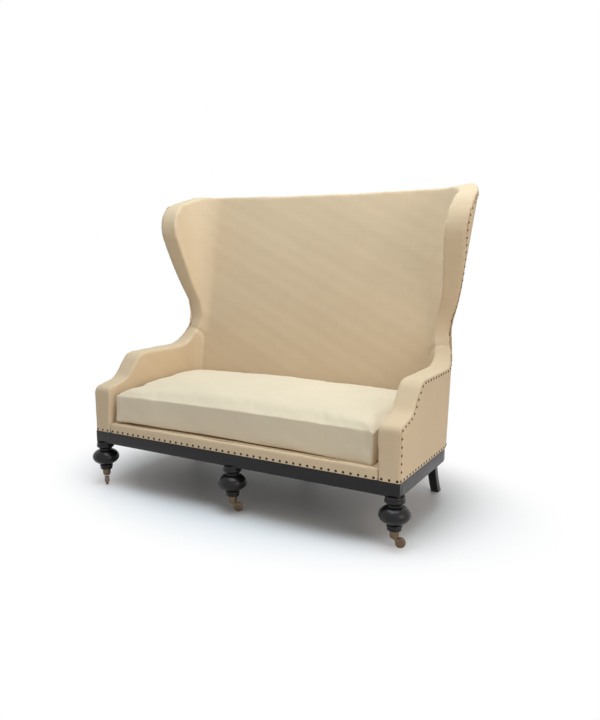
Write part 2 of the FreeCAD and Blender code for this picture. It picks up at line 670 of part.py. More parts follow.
def make_castor(side):
    cup_outer_foot = SPIGOT_RADIUS + CUP_FOOT_WALL
    cup = turned([
        (STEM_RADIUS + PIN_FIT, CUP_BOTTOM),
        (cup_outer_foot, CUP_BOTTOM),
        (SPIGOT_RADIUS + CUP_WALL, CUP_TOP),
        (SPIGOT_RADIUS + PIN_FIT, CUP_TOP),
        (SPIGOT_RADIUS + PIN_FIT, CUP_BOTTOM + CUP_BASE),
        (STEM_RADIUS + PIN_FIT, CUP_BOTTOM + CUP_BASE),
    ])
    disc_top = CUP_BOTTOM - SWIVEL_GAP
    disc_low = disc_top - FORK_DISC_THICK
    head_low = CUP_BOTTOM + CUP_BASE + SWIVEL_GAP
    fork = turned([
        (0.0, disc_low),
        (FORK_DISC_RADIUS, disc_low),
        (FORK_DISC_RADIUS, disc_top),
        (STEM_RADIUS, disc_top),
        (STEM_RADIUS, head_low),
        (STEM_HEAD_RADIUS, head_low),
        (STEM_HEAD_RADIUS, head_low + STEM_HEAD_HEIGHT),
        (0.0, head_low + STEM_HEAD_HEIGHT),
    ])
    cheek_start = WHEEL_WIDTH / 2 + CHEEK_GAP
    axle_z = WHEEL_RADIUS
    slant = math.atan2(disc_low - axle_z, CASTOR_TRAIL)
    shift_x = CHEEK_RADIUS * math.sin(slant)
    shift_z = CHEEK_RADIUS * math.cos(slant)
    for sign in (-1, 1):
        y = cheek_start if sign > 0 else -cheek_start - CHEEK_THICK
        outline = Part.makePolygon([
            Vector(-CHEEK_RADIUS, y, disc_low),
            Vector(CHEEK_RADIUS, y, disc_low),
            Vector(CASTOR_TRAIL + shift_x, y, axle_z + shift_z),
            Vector(CASTOR_TRAIL - shift_x, y, axle_z - shift_z),
            Vector(-CHEEK_RADIUS, y, disc_low),
        ])
        cheek = Part.Face(outline).extrude(Vector(0, CHEEK_THICK, 0))
        end = Part.makeCylinder(CHEEK_RADIUS, CHEEK_THICK, Vector(CASTOR_TRAIL, y, axle_z), Vector(0, 1, 0))
        hole = Part.makeCylinder(
            AXLE_RADIUS + PIN_FIT, CHEEK_THICK, Vector(CASTOR_TRAIL, y, axle_z), Vector(0, 1, 0)
        )
        fork = fork.fuse(cheek.fuse(end).cut(hole))
    fork = fork.removeSplitter()
    axle_half = cheek_start + CHEEK_THICK + AXLE_STAND
    axle = Part.makeCylinder(
        AXLE_RADIUS, 2 * axle_half, Vector(CASTOR_TRAIL, -axle_half, axle_z), Vector(0, 1, 0)
    )
    hub_half = WHEEL_WIDTH / 2
    tread_half = hub_half - HUB_STAND
    wheel = turned([
        (AXLE_RADIUS + PIN_FIT, -hub_half),
        (HUB_RADIUS, -hub_half),
        (HUB_RADIUS, -tread_half),
        (WHEEL_RADIUS - WHEEL_EDGE, -tread_half),
        (WHEEL_RADIUS, -tread_half + WHEEL_EDGE),
        (WHEEL_RADIUS, tread_half - WHEEL_EDGE),
        (WHEEL_RADIUS - WHEEL_EDGE, tread_half),
        (HUB_RADIUS, tread_half),
        (HUB_RADIUS, hub_half),
        (AXLE_RADIUS + PIN_FIT, hub_half),
    ])
    wheel.rotate(Vector(0, 0, 0), Vector(1, 0, 0), 90)
    wheel.translate(Vector(CASTOR_TRAIL, 0, axle_z))
    parts = {"cup": cup, "fork": fork, "axle": axle, "wheel": wheel}
    for name, shape in parts.items():
        shape.rotate(Vector(0, 0, 0), Vector(0, 0, 1), CASTOR_TURN_DEG[side])
        shape.translate(Vector(leg_places[side], LEG_INSET_Y, 0))
        pieces["castor_" + name + "_" + side] = shape


def nail_at(point, normal):
    """Domed nail whose head rests on point and whose shank goes into the cover."""
    ball = (NAIL_RADIUS ** 2 + NAIL_DOME ** 2) / (2 * NAIL_DOME)
    half_angle = math.asin(NAIL_RADIUS / ball) / 2
    across = ball * math.sin(half_angle) - NAIL_RADIUS / 2
    up = ball * (math.cos(half_angle) - 1) + NAIL_DOME / 2
    nail = turned([
        (0.0, -NAIL_SHANK),
        (NAIL_SHANK_RADIUS, -NAIL_SHANK + NAIL_SHANK_RADIUS),
        (NAIL_SHANK_RADIUS, 0.0),
        (NAIL_RADIUS, 0.0),
        (0.0, NAIL_DOME, across, up),
    ])
    nail.Placement = FreeCAD.Placement(point, FreeCAD.Rotation(Vector(0, 0, 1), normal))
    return nail


def outer_point(y, z):
    """Point of the shell's right outside at (y, z), and the normal there."""
    half, rear, corner = outer_section(z, 0.0)
    centre_y = rear - corner
    if y <= centre_y:
        x, across, along = half, 1.0, 0.0
    else:
        along = (y - centre_y) / corner
        across = math.sqrt(1 - along * along)
        x = half - corner + corner * across
    lean = -math.tan(math.radians(FLARE_DEG)) if z > flare_start else 0.0
    return Vector(x, y, z), Vector(across, along, lean)


def evenly(wire, pitch):
    count = max(2, round(wire.Length / pitch) + 1)
    return wire.discretize(Number=count)


def make_nails():
    low = body_low + NAIL_FOOT_RISE
    front_z = low
    end_x = half_width - NAIL_EDGE
    row = Part.Wire([Part.makeLine(Vector(-end_x, 0, front_z), Vector(end_x, 0, front_z))])
    pieces["nails_front"] = Part.makeCompound([nail_at(p, Vector(0, -1, 0)) for p in evenly(row, NAIL_PITCH)])
    half, rear, corner = outer_section(low, 0.0)
    bend = corner * (1 - math.sqrt(0.5))
    foot = Part.Wire([
        Part.makeLine(Vector(half, NAIL_FRONT_SET_BACK, low), Vector(half, rear - corner, low)),
        Part.Arc(
            Vector(half, rear - corner, low),
            Vector(half - bend, rear - bend, low),
            Vector(half - corner, rear, low),
        ).toShape(),
    ])
    side_nails = []
    for point in evenly(foot, NAIL_PITCH)[:-1]:
        place, normal = outer_point(point.y, point.z)
        side_nails.append(nail_at(place, normal))
    corners = inset_corners(side_outline, NAIL_EDGE)
    edges = rounded_edges(corners, lambda p: Vector(0, p.x, p.y))
    rising = [edge for edge in edges if climbs(edge)]
    edge_line = Part.Wire(Part.sortEdges(rising)[0])
    for point in evenly(edge_line, NAIL_PITCH):
        if point.z > low + NAIL_PITCH / 2:
            place, normal = outer_point(point.y, point.z)
            side_nails.append(nail_at(place, normal))
    right = Part.makeCompound(side_nails)
    pieces["nails_right"] = right
    pieces["nails_left"] = mirrored(right)
    back_end = half - corner - NAIL_PITCH / 2
    back = Part.Wire([Part.makeLine(Vector(-back_end, rear, low), Vector(back_end, rear, low))])
    pieces["nails_back"] = Part.makeCompound([nail_at(p, Vector(0, 1, 0)) for p in evenly(back, NAIL_PITCH)])


def climbs(edge):
    """True for the outline's edges along arm and wing, from the foot to the crest."""
    ends = [v.Point for v in edge.Vertexes]
    over_foot = max(p.z for p in ends) > body_low + 2 * NAIL_EDGE
    before_crest = max(p.y for p in ends) < WING_CREST_BACK + WING_CREST_ROUND
    return over_foot and before_crest


make_plinth()
make_base_bracing()
make_seat_rails()
make_webbing()
make_deck()
make_upper_frame()
make_pads()
make_covers()
make_cushion()
for leg_side in leg_places:
    make_front_leg(leg_side)
    make_castor(leg_side)
make_rear_leg("right", rear_leg_x, rear_leg_y)
make_rear_leg("left", -rear_leg_x, rear_leg_y)
make_rear_leg("middle", 0.0, middle_rear_leg_y)
make_nails()

# The origin goes under the middle of the whole object
everything = Part.makeCompound(list(pieces.values())).optimalBoundingBox(False, False)
centre_y = (everything.YMin + everything.YMax) / 2
os.makedirs("parts", exist_ok=True)
for name, shape in pieces.items():
    shape.translate(Vector(0, -centre_y, 0))
    shape.exportStep("parts/" + name + ".step")
print("pieces", len(pieces), "centre_y %.3f" % centre_y)
for leg_side, x in leg_places.items():
    turn = math.radians(CASTOR_TURN_DEG[leg_side])
    wheel_x = x + CASTOR_TRAIL * math.cos(turn)
    wheel_y = LEG_INSET_Y - centre_y + CASTOR_TRAIL * math.sin(turn)
    print(leg_side, "swivel x %.3f y %.3f" % (x, LEG_INSET_Y - centre_y))
    print(leg_side, "wheel x %.3f y %.3f z %.3f" % (wheel_x, wheel_y, WHEEL_RADIUS))
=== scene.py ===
import json
import math

import bmesh
import bpy
import numpy as np
from bpy.props import FloatProperty, FloatVectorProperty, IntProperty, PointerProperty
from bpy.types import Operator, Panel, PropertyGroup
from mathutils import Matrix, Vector


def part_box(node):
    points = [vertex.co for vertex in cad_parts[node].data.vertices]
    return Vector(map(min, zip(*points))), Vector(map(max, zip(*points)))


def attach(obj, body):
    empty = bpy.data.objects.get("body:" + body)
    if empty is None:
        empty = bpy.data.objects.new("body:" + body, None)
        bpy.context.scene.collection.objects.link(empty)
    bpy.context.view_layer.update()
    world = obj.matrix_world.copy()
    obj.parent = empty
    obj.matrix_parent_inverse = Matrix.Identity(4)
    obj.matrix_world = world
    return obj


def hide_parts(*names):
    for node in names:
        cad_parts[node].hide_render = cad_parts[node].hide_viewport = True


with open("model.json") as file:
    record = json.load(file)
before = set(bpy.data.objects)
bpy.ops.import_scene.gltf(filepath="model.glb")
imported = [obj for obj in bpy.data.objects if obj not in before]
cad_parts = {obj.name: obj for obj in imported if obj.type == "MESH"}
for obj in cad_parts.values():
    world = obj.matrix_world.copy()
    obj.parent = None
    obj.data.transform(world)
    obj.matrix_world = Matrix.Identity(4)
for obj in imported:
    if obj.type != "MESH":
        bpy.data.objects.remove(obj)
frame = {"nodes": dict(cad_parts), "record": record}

bl_info = {
    "name": "High back settee",
    "version": (1, 0, 0),
    "blender": (4, 5, 0),
    "location": "View3D > Sidebar > Settee",
    "description": "Upholstery, turned wood, castors and finishes of a high back settee",
    "category": "Object",
}

SIDES = ("left", "middle", "right")
NODES = frame["nodes"]

# Places read from the frame, in metres
PLINTH_LOW, PLINTH_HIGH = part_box("plinth_front")
FRONT_Y = PLINTH_LOW.y
BODY_LOW = PLINTH_HIGH.z
HALF_WIDTH = PLINTH_HIGH.x
BODY_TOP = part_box("wing_pad_right")[1].z
CUSHION_LOW, CUSHION_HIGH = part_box("seat_cushion")
SEAM_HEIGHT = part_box("wing_pad_right")[0].z
BACK_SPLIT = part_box("back_pad")[1].x


class UpholsterySizes(PropertyGroup):
    """Sizes of the padded covers."""

    cover_voxel: FloatProperty(
        name="Cover voxel", description="Grid that the padded covers are made on",
        default=0.0065, unit="LENGTH")
    cushion_voxel: FloatProperty(
        name="Cushion voxel", description="Grid that the seat cushion is made on",
        default=0.010, unit="LENGTH")
    cloth_thickness: FloatProperty(
        name="Cloth", description="Thickness of the calico on the outside panels",
        default=0.0014, unit="LENGTH")
    panel_edge: FloatProperty(
        name="Panel edge", description="How far an outside panel stays behind the padded edge",
        default=0.007, unit="LENGTH")
    seam_corner: FloatProperty(
        name="Seam corner", description="Radius where the arm's seam turns down beside the back",
        default=0.060, unit="LENGTH")
    seam_from_middle: FloatProperty(
        name="Arm seam", description="Distance of the arm's seam from the middle of the back",
        default=0.622, unit="LENGTH")
    ear_rise: FloatProperty(
        name="Ear", description="How far the right wing's rear corner stands up",
        default=0.014, unit="LENGTH")
    cushion_pressure: FloatProperty(
        name="Cushion pressure", description="Pressure that fills the seat cushion", default=4.0)
    cushion_swell: FloatProperty(
        name="Cushion swell", description="The most that the cushion's cover may swell",
        default=0.022, unit="LENGTH")
    cushion_start_inset: FloatProperty(
        name="Cushion inset", description="How much smaller the cushion is before it is filled",
        default=0.010, unit="LENGTH")


class WoodSizes(PropertyGroup):
    """Sizes of the show wood."""

    edge: FloatProperty(
        name="Edge", description="Rounding of the plinth's and the rear legs' edges",
        default=0.0022, unit="LENGTH")
    metal_edge: FloatProperty(
        name="Metal edge", description="Rounding of the castors' edges", default=0.0005, unit="LENGTH")
    turning_sides: IntProperty(
        name="Turning", description="Faces round a turned leg", default=72)


class FinishColours(PropertyGroup):
    """Colours of the finishes, in linear light."""

    calico: FloatVectorProperty(
        name="Calico", description="Unbleached calico", subtype="COLOR", default=(0.72, 0.55, 0.365))
    # Painted light: the cushion is the same calico as the rest, painted paler to stand for the bright
    # light on its top
    cushion: FloatVectorProperty(
        name="Cushion calico", description="Calico of the loose cushion", subtype="COLOR",
        default=(0.79, 0.665, 0.49))
    ebonised: FloatVectorProperty(
        name="Ebonised wood", description="Black stained wood under polish", subtype="COLOR",
        default=(0.006, 0.0055, 0.006))
    brass: FloatVectorProperty(
        name="Castor brass", description="Aged brass of the castors", subtype="COLOR",
        default=(0.23, 0.165, 0.095))
    wheel: FloatVectorProperty(
        name="Castor wheel", description="Worn wheels", subtype="COLOR", default=(0.25, 0.17, 0.125))
    nails: FloatVectorProperty(
        name="Nail heads", description="Dark antique nail heads", subtype="COLOR",
        default=(0.018, 0.011, 0.007))
    timber: FloatVectorProperty(
        name="Frame timber", description="Hardwood of the hidden frame", subtype="COLOR",
        default=(0.50, 0.31, 0.16))
    jute: FloatVectorProperty(
        name="Jute", description="Webbing straps", subtype="COLOR", default=(0.30, 0.19, 0.09))
    cambric: FloatVectorProperty(
        name="Cambric", description="Black dust cloth", subtype="COLOR",
        default=(0.012, 0.012, 0.014))
    floor: FloatVectorProperty(
        name="Floor", description="Pale studio floor", subtype="COLOR", default=(0.93, 0.93, 0.94))


class StageSettings(PropertyGroup):
    """Camera and lamps."""

    camera_place: FloatVectorProperty(
        name="Camera", description="Where the camera stands", subtype="TRANSLATION",
        default=(1.60795, -2.6544, 1.09794))
    camera_turn: FloatProperty(
        name="Camera turn", description="Turn of the camera towards the settee's left end",
        subtype="ANGLE", default=math.radians(29.63))
    camera_tilt: FloatProperty(
        name="Camera tilt", description="Tilt of the camera below the horizon",
        subtype="ANGLE", default=math.radians(9.32))
    camera_lens: FloatProperty(
        name="Lens", description="Focal length in millimetres on a 36 mm wide film", default=34.37)
    sky: FloatProperty(name="Sky", description="Strength of the even light all round", default=0.28)
    top_lamp: FloatProperty(
        name="Top lamp", description="Power of the soft lamp overhead", default=88.0)
    side_lamp: FloatProperty(
        name="Side lamp", description="Power of the soft lamp on the right", default=34.0)


GROUPS = {
    "settee_upholstery": UpholsterySizes,
    "settee_wood": WoodSizes,
    "settee_colours": FinishColours,
    "settee_stage": StageSettings,
}


# Selection and meshes

def deselect_all():
    if bpy.context.mode != "OBJECT":
        bpy.ops.object.mode_set(mode="OBJECT")
    bpy.ops.object.select_all(action="DESELECT")


def pick(piece):
    deselect_all()
    piece.select_set(True)
    bpy.context.view_layer.objects.active = piece


def points_of(piece):
    flat = np.empty(len(piece.data.vertices) * 3)
    piece.data.vertices.foreach_get("co", flat)
    return flat.reshape(-1, 3)


def normals_of(piece):
    flat = np.empty(len(piece.data.vertices) * 3)
    piece.data.vertex_normals.foreach_get("vector", flat)
    return flat.reshape(-1, 3)


def place_points(piece, points):
    piece.data.vertices.foreach_set("co", points.ravel())
    piece.data.update()


def smooth_step(low, high, values):
    share = np.clip((values - low) / (high - low), 0.0, 1.0)
    return share * share * (3.0 - 2.0 * share)


def merged_copy(node, name):
    """A new object with a CAD node's mesh, its loose triangles joined up."""
    copy = bpy.data.objects.new(name, NODES[node].data.copy())
    bpy.context.scene.collection.objects.link(copy)
    copy.data.materials.clear()
    pick(copy)
    bpy.ops.object.mode_set(mode="EDIT")
    bpy.ops.mesh.select_all(action="SELECT")
    bpy.ops.mesh.remove_doubles(threshold=0.00001)
    bpy.ops.object.mode_set(mode="OBJECT")
    return copy


def apply_modifier(piece, kind, **settings):
    pick(piece)
    modifier = piece.modifiers.new(kind.title(), kind)
    for name, value in settings.items():
        setattr(modifier, name, value)
    bpy.ops.object.modifier_apply(modifier=modifier.name)


def remesh(piece, voxel):
    apply_modifier(piece, "REMESH", mode="VOXEL", voxel_size=voxel, use_smooth_shade=True)


def relax(piece, rounds):
    apply_modifier(piece, "SMOOTH", factor=0.5, iterations=rounds)


def joined(pieces):
    deselect_all()
    for piece in pieces:
        piece.select_set(True)
    bpy.context.view_layer.objects.active = pieces[0]
    bpy.ops.object.join()
    return pieces[0]


def cut_level(piece, height):
    """Everything under the height goes, and the cut is closed."""
    pick(piece)
    bpy.ops.object.mode_set(mode="EDIT")
    bpy.ops.mesh.select_all(action="SELECT")
    bpy.ops.mesh.bisect(
        plane_co=(0, 0, height), plane_no=(0, 0, 1), clear_inner=True, use_fill=True)
    bpy.ops.object.mode_set(mode="OBJECT")


def remove_piece(piece):
    bpy.data.objects.remove(piece)


def finish_piece(piece, body, slot, material, *nodes):
    piece.data.materials.clear()
    piece.data.materials.append(material)
    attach(piece, body)
    if nodes:
        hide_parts(*nodes)


# Shape of the upholstered body, as in the CAD: the ends flare above the arms, the back leans,
# and the rear corners' radius grows with the height

FLARE_START = BODY_LOW + 0.497
FLARE = math.tan(math.radians(6.6))
RAKE = math.tan(math.radians(9.8))
REAR_LOW = FRONT_Y + 0.692
CORNER_LOW = 0.193
CORNER_GROWTH = 0.089 / 1.106

# Depths of the padding's outer face and of its core under the body's outside
COVER_DEPTH = 0.0103
CORE_DEPTH = 0.0386

# Finishing of the padded covers, in metres
PAD_OVERLAP = 0.0005
FOOT_BAND = 0.002
FOOT_DROP = 0.010
PANEL_GAP = 0.0003
CUT_GAP = 0.0003
VALLEY_DEPTH = 0.0035
VALLEY_WIDTH = 0.008
VALLEY_REACH = 0.05
EAR_START = 0.66
EAR_END = 0.78
EAR_HEIGHT = 0.12
BORDER_VOXEL = 0.005
BORDER_FOOT = 0.01
NAIL_LINE = 0.014
NAIL_CLEAR = 0.024
DECK_EDGE = 0.003

# Waves of the cloth: each has a height and a length in metres, in two crossing directions
BODY_WAVES = ((0.0009, 0.61), (0.0007, 0.27), (0.0004, 0.11))
BORDER_WAVES = ((0.0014, 0.31), (0.0007, 0.13))
CUSHION_WAVES = ((0.0022, 0.47), (0.0012, 0.21), (0.0006, 0.10))
WAVE_SLANT = 0.37
WAVE_SHIFT = 1.7
CROSS_SLANT = 0.29
CROSS_SHIFT = 0.9


def depth_in_shell(points):
    """How deep each point lies inside the body's outside, seen from above, and the way out."""
    rise = points[:, 2] - BODY_LOW
    half = HALF_WIDTH + np.maximum(points[:, 2] - FLARE_START, 0.0) * FLARE
    rear = REAR_LOW + rise * RAKE
    corner = CORNER_LOW + rise * CORNER_GROWTH
    across = np.abs(points[:, 0]) - (half - corner)
    along = points[:, 1] - (rear - corner)
    out_x = np.maximum(across, 0.0)
    out_y = np.maximum(along, 0.0)
    reach = np.hypot(out_x, out_y)
    depth = corner - reach - np.minimum(np.maximum(across, along), 0.0)
    level = reach < 1e-9
    way_x = np.where(level, np.where(across > along, 1.0, 0.0), out_x / np.maximum(reach, 1e-9))
    way_y = np.where(level, np.where(across > along, 0.0, 1.0), out_y / np.maximum(reach, 1e-9))
    way = np.stack([way_x * np.sign(points[:, 0]), way_y, np.zeros(len(points))], axis=1)
    return depth, way


def padding_block(sizes):
    """Pads of arms, wings and back as one soft block, its border out to the outside cloth."""
    nodes = ("back_pad", "wing_pad_left", "wing_pad_right", "arm_pad_left", "arm_pad_right")
    copies = []
    for node in nodes:
        copy = merged_copy(node, "padding_block")
        apply_modifier(copy, "DISPLACE", strength=PAD_OVERLAP, mid_level=0.0)
        copies.append(copy)
    block = joined(copies)
    points = points_of(block)
    foot = points[:, 2] < BODY_LOW + FOOT_BAND
    points[foot, 2] -= FOOT_DROP
    place_points(block, points)
    remesh(block, sizes.cover_voxel)
    points = points_of(block)
    depth, way = depth_in_shell(points)
    share = np.clip((CORE_DEPTH - depth) / (CORE_DEPTH - COVER_DEPTH), 0.0, 1.1)
    push = (COVER_DEPTH - sizes.cloth_thickness - PANEL_GAP) * share
    place_points(block, points + way * push[:, None])
    relax(block, 5)
    points = points_of(block)
    off_seam = seam_distance(points, sizes)
    near_seam = np.abs(points[:, 0]) > sizes.seam_from_middle - VALLEY_REACH
    valley = np.where(near_seam, np.exp(-(off_seam / VALLEY_WIDTH) ** 2), 0.0)
    swell(block, -VALLEY_DEPTH * valley)
    swell(block, soft_waves(points, BODY_WAVES))
    points = points_of(block)
    outward = smooth_step(EAR_START, EAR_END, points[:, 0])
    upward = smooth_step(BODY_TOP - EAR_HEIGHT, BODY_TOP, points[:, 2])
    points[:, 2] += sizes.ear_rise * (outward * upward)
    place_points(block, points)
    return block


def seam_distance(points, sizes):
    """Distance of each point from the surface that parts the arms from back and wings."""
    corner = sizes.seam_corner
    inward = sizes.seam_from_middle + corner - np.abs(points[:, 0])
    upward = points[:, 2] - (SEAM_HEIGHT - corner)
    reach = np.hypot(np.maximum(inward, 0.0), np.maximum(upward, 0.0))
    return reach + np.minimum(np.maximum(inward, upward), 0.0) - corner


def arm_cutter(sign, sizes):
    """Block that holds one arm: below the wing's seam and outside the back's."""
    inner = sizes.seam_from_middle
    outer = HALF_WIDTH + 0.2
    low = BODY_LOW - 0.1
    deselect_all()
    bpy.ops.mesh.primitive_cube_add(
        size=1.0, location=(sign * (inner + outer) / 2, 0.0, (low + SEAM_HEIGHT) / 2))
    cutter = bpy.context.object
    cutter.scale = (outer - inner, 2.4, SEAM_HEIGHT - low)
    bpy.ops.object.transform_apply(location=True, rotation=False, scale=True)
    bpy.ops.object.mode_set(mode="EDIT")
    bpy.ops.mesh.select_mode(type="EDGE")
    bpy.ops.mesh.select_all(action="DESELECT")
    bpy.ops.object.mode_set(mode="OBJECT")
    points = points_of(cutter)
    for edge in cutter.data.edges:
        ends = points[list(edge.vertices)]
        at_seam = np.all(np.abs(ends[:, 2] - SEAM_HEIGHT) < 1e-4)
        at_back = np.all(np.abs(np.abs(ends[:, 0]) - inner) < 1e-4)
        edge.select = bool(at_seam and at_back)
    bpy.ops.object.mode_set(mode="EDIT")
    bpy.ops.mesh.bevel(offset=sizes.seam_corner, segments=12)
    bpy.ops.object.mode_set(mode="OBJECT")
    return cutter


def soft_waves(points, waves):
    """Slow unevenness of stuffed cloth from crossing waves, each of a height and a length."""
    x, y, z = points.T
    total = np.zeros(len(points))
    for i, (height, length) in enumerate(waves):
        turn = 2.0 * math.pi / length
        across = np.sin(turn * (x + WAVE_SLANT * z) + WAVE_SHIFT * i)
        upward = np.sin(turn * (z - CROSS_SLANT * x + y) + CROSS_SHIFT * i)
        total += height * across * upward
    return total


def swell(piece, amount):
    points = points_of(piece)
    place_points(piece, points + normals_of(piece) * amount[:, None])


class SETTEE_OT_inside_covers(Operator):
    """Cover the arms, the wings and the inside of the back"""

    bl_idname = "settee.inside_covers"
    bl_label = "Inside covers"

    def execute(self, context):
        sizes = context.scene.settee_upholstery
        block = padding_block(sizes)
        cutters = {"left": arm_cutter(-1, sizes), "right": arm_cutter(1, sizes)}
        for side, cutter in cutters.items():
            arm = block.copy()
            arm.data = block.data.copy()
            arm.name = "arm_cover_" + side
            context.scene.collection.objects.link(arm)
            apply_modifier(arm, "BOOLEAN", operation="INTERSECT", solver="MANIFOLD", object=cutter)
            self.finish_cover(arm, "arm_pad_" + side)
        for cutter in cutters.values():
            apply_modifier(block, "BOOLEAN", operation="DIFFERENCE", solver="MANIFOLD", object=cutter)
            remove_piece(cutter)
        block.name = "back_and_wings_cover"
        self.finish_cover(block, "back_pad", "wing_pad_left", "wing_pad_right")
        return {"FINISHED"}

    def finish_cover(self, piece, *nodes):
        cut_level(piece, BODY_LOW + CUT_GAP)
        pick(piece)
        bpy.ops.object.shade_smooth_by_angle(angle=math.radians(40))
        finish_piece(piece, "frame", "calico", calico("calico"), *nodes)


def drawn_back(piece, amount):
    """Moves the walls along a skin's outline inwards, but for the foot and the rear seams."""
    shape = bmesh.new()
    shape.from_mesh(piece.data)
    shape.normal_update()
    _, ways = depth_in_shell(points_of(piece))
    moves = []
    for vertex in shape.verts:
        way = Vector(ways[vertex.index])
        walls = []
        for face in vertex.link_faces:
            normal = face.normal
            on_foot = normal.z < -0.9
            on_seam = abs(normal.x) > 0.9 and abs(abs(vertex.co.x) - BACK_SPLIT) < 0.002
            if abs(normal.dot(way)) < 0.5 and not on_foot and not on_seam:
                walls.append(normal.copy())
        if walls:
            out = sum(walls, Vector()).normalized()
            moves.append((vertex, out * -amount))
    for vertex, move in moves:
        vertex.co += move
    shape.to_mesh(piece.data)
    shape.free()


def outside_panel(node, name, sizes):
    """Cloth panel from a CAD skin, thinned to cloth and drawn back from the padded edge."""
    piece = merged_copy(node, name)
    drawn_back(piece, sizes.panel_edge)
    points = points_of(piece)
    depth, way = depth_in_shell(points)
    inside = np.maximum(depth - sizes.cloth_thickness, 0.0)
    place_points(piece, points + way * inside[:, None])
    pick(piece)
    bpy.ops.object.shade_smooth_by_angle(angle=math.radians(35))
    return piece


class SETTEE_OT_outside_panels(Operator):
    """Nail the outside panels on the ends and the back"""

    bl_idname = "settee.outside_panels"
    bl_label = "Outside panels"

    def execute(self, context):
        sizes = context.scene.settee_upholstery
        for side in ("left", "right"):
            node = "outer_side_" + side
            panel = outside_panel(node, "outside_panel_" + side, sizes)
            finish_piece(panel, "frame", "calico", calico("calico"), node)
        panel = outside_panel("outer_back", "outside_back_panel", sizes)
        finish_piece(panel, "frame", "calico", calico("calico"), "outer_back")
        return {"FINISHED"}


class SETTEE_OT_front_border(Operator):
    """Pad the border under the cushion and the seat deck"""

    bl_idname = "settee.front_border"
    bl_label = "Front border"

    def execute(self, context):
        border = merged_copy("front_border", "front_border_cover")
        points = points_of(border)
        foot = points[:, 2] < BODY_LOW + BORDER_FOOT
        points[foot, 2] -= FOOT_DROP
        place_points(border, points)
        remesh(border, BORDER_VOXEL)
        relax(border, 10)
        points = points_of(border)
        over_nails = smooth_step(BODY_LOW + NAIL_LINE, BODY_LOW + NAIL_CLEAR, points[:, 2])
        swell(border, soft_waves(points, BORDER_WAVES) * over_nails)
        cut_level(border, BODY_LOW + CUT_GAP)
        finish_piece(border, "frame", "calico", calico("calico"), "front_border")
        deck = merged_copy("deck_pad", "seat_deck_cover")
        apply_modifier(deck, "BEVEL", width=DECK_EDGE, segments=3, limit_method="ANGLE")
        finish_piece(deck, "frame", "calico", calico("calico"), "deck_pad")
        return {"FINISHED"}


AIR_STEPS = 20


def fill_with_air(piece, pressure, most):
    """Cloth simulation that fills a closed cover; no point moves further than most."""
    start = points_of(piece)
    scene = bpy.context.scene
    pick(piece)
    modifier = piece.modifiers.new("Cloth", "CLOTH")
    settings = modifier.settings
    settings.quality = 5
    settings.mass = 0.3
    settings.tension_stiffness = 15
    settings.compression_stiffness = 15
    settings.shear_stiffness = 5
    settings.bending_stiffness = 0.5
    settings.use_pressure = True
    settings.uniform_pressure_force = pressure
    settings.effector_weights.gravity = 0.0
    modifier.point_cache.frame_start = 1
    modifier.point_cache.frame_end = AIR_STEPS
    for step in range(1, AIR_STEPS + 1):
        scene.frame_set(step)
    bpy.ops.object.modifier_apply(modifier=modifier.name)
    scene.frame_set(1)
    filled = points_of(piece)
    move = filled - start
    length = np.linalg.norm(move, axis=1)
    keep = np.minimum(1.0, most / np.maximum(length, 1e-9))
    place_points(piece, start + move * keep[:, None])


# How the cushion has settled in use, in metres: where each change fades out, then how large it is.
# Its front end bulges and droops, more so at its low edge, and its right front corner is tucked.
FRONT_FADE = (FRONT_Y + 0.02, FRONT_Y + 0.16)
LOW_FADE = (CUSHION_LOW.z, CUSHION_LOW.z + 0.07)
LEFT_FADE = (-0.62, -0.25)
RIGHT_FADE = (0.15, 0.62)
SHIFT_RIGHT = 0.006
SHIFT_LEFT = 0.013
BULGE = 0.006
BULGE_LOW = 0.006
BULGE_LEFT = 0.010
DROOP = 0.004
DROOP_WAVE = 0.003
DROOP_RIGHT = 0.012
SAG_TURN = 9.0
SAG_SHIFT = 0.6
SLOW_TURN = 4.3
SLOW_SHIFT = 1.1
FOLD_PLACE = CUSHION_HIGH.x - 0.050
FOLD_WIDTH = 0.011
FOLD_DEPTH = 0.009
FOLD_FADE = (CUSHION_LOW.z + 0.01, CUSHION_LOW.z + 0.09)
CORNER_FADE = (CUSHION_HIGH.x - 0.05, CUSHION_HIGH.x)
CORNER_RISE = (CUSHION_LOW.z + 0.09, CUSHION_LOW.z + 0.14)
CORNER_DROP = 0.012
DECK_FRONT = FRONT_Y + 0.03
DECK_GAP = 0.0002
WAVE_FADE = (CUSHION_LOW.z, CUSHION_LOW.z + 0.03)


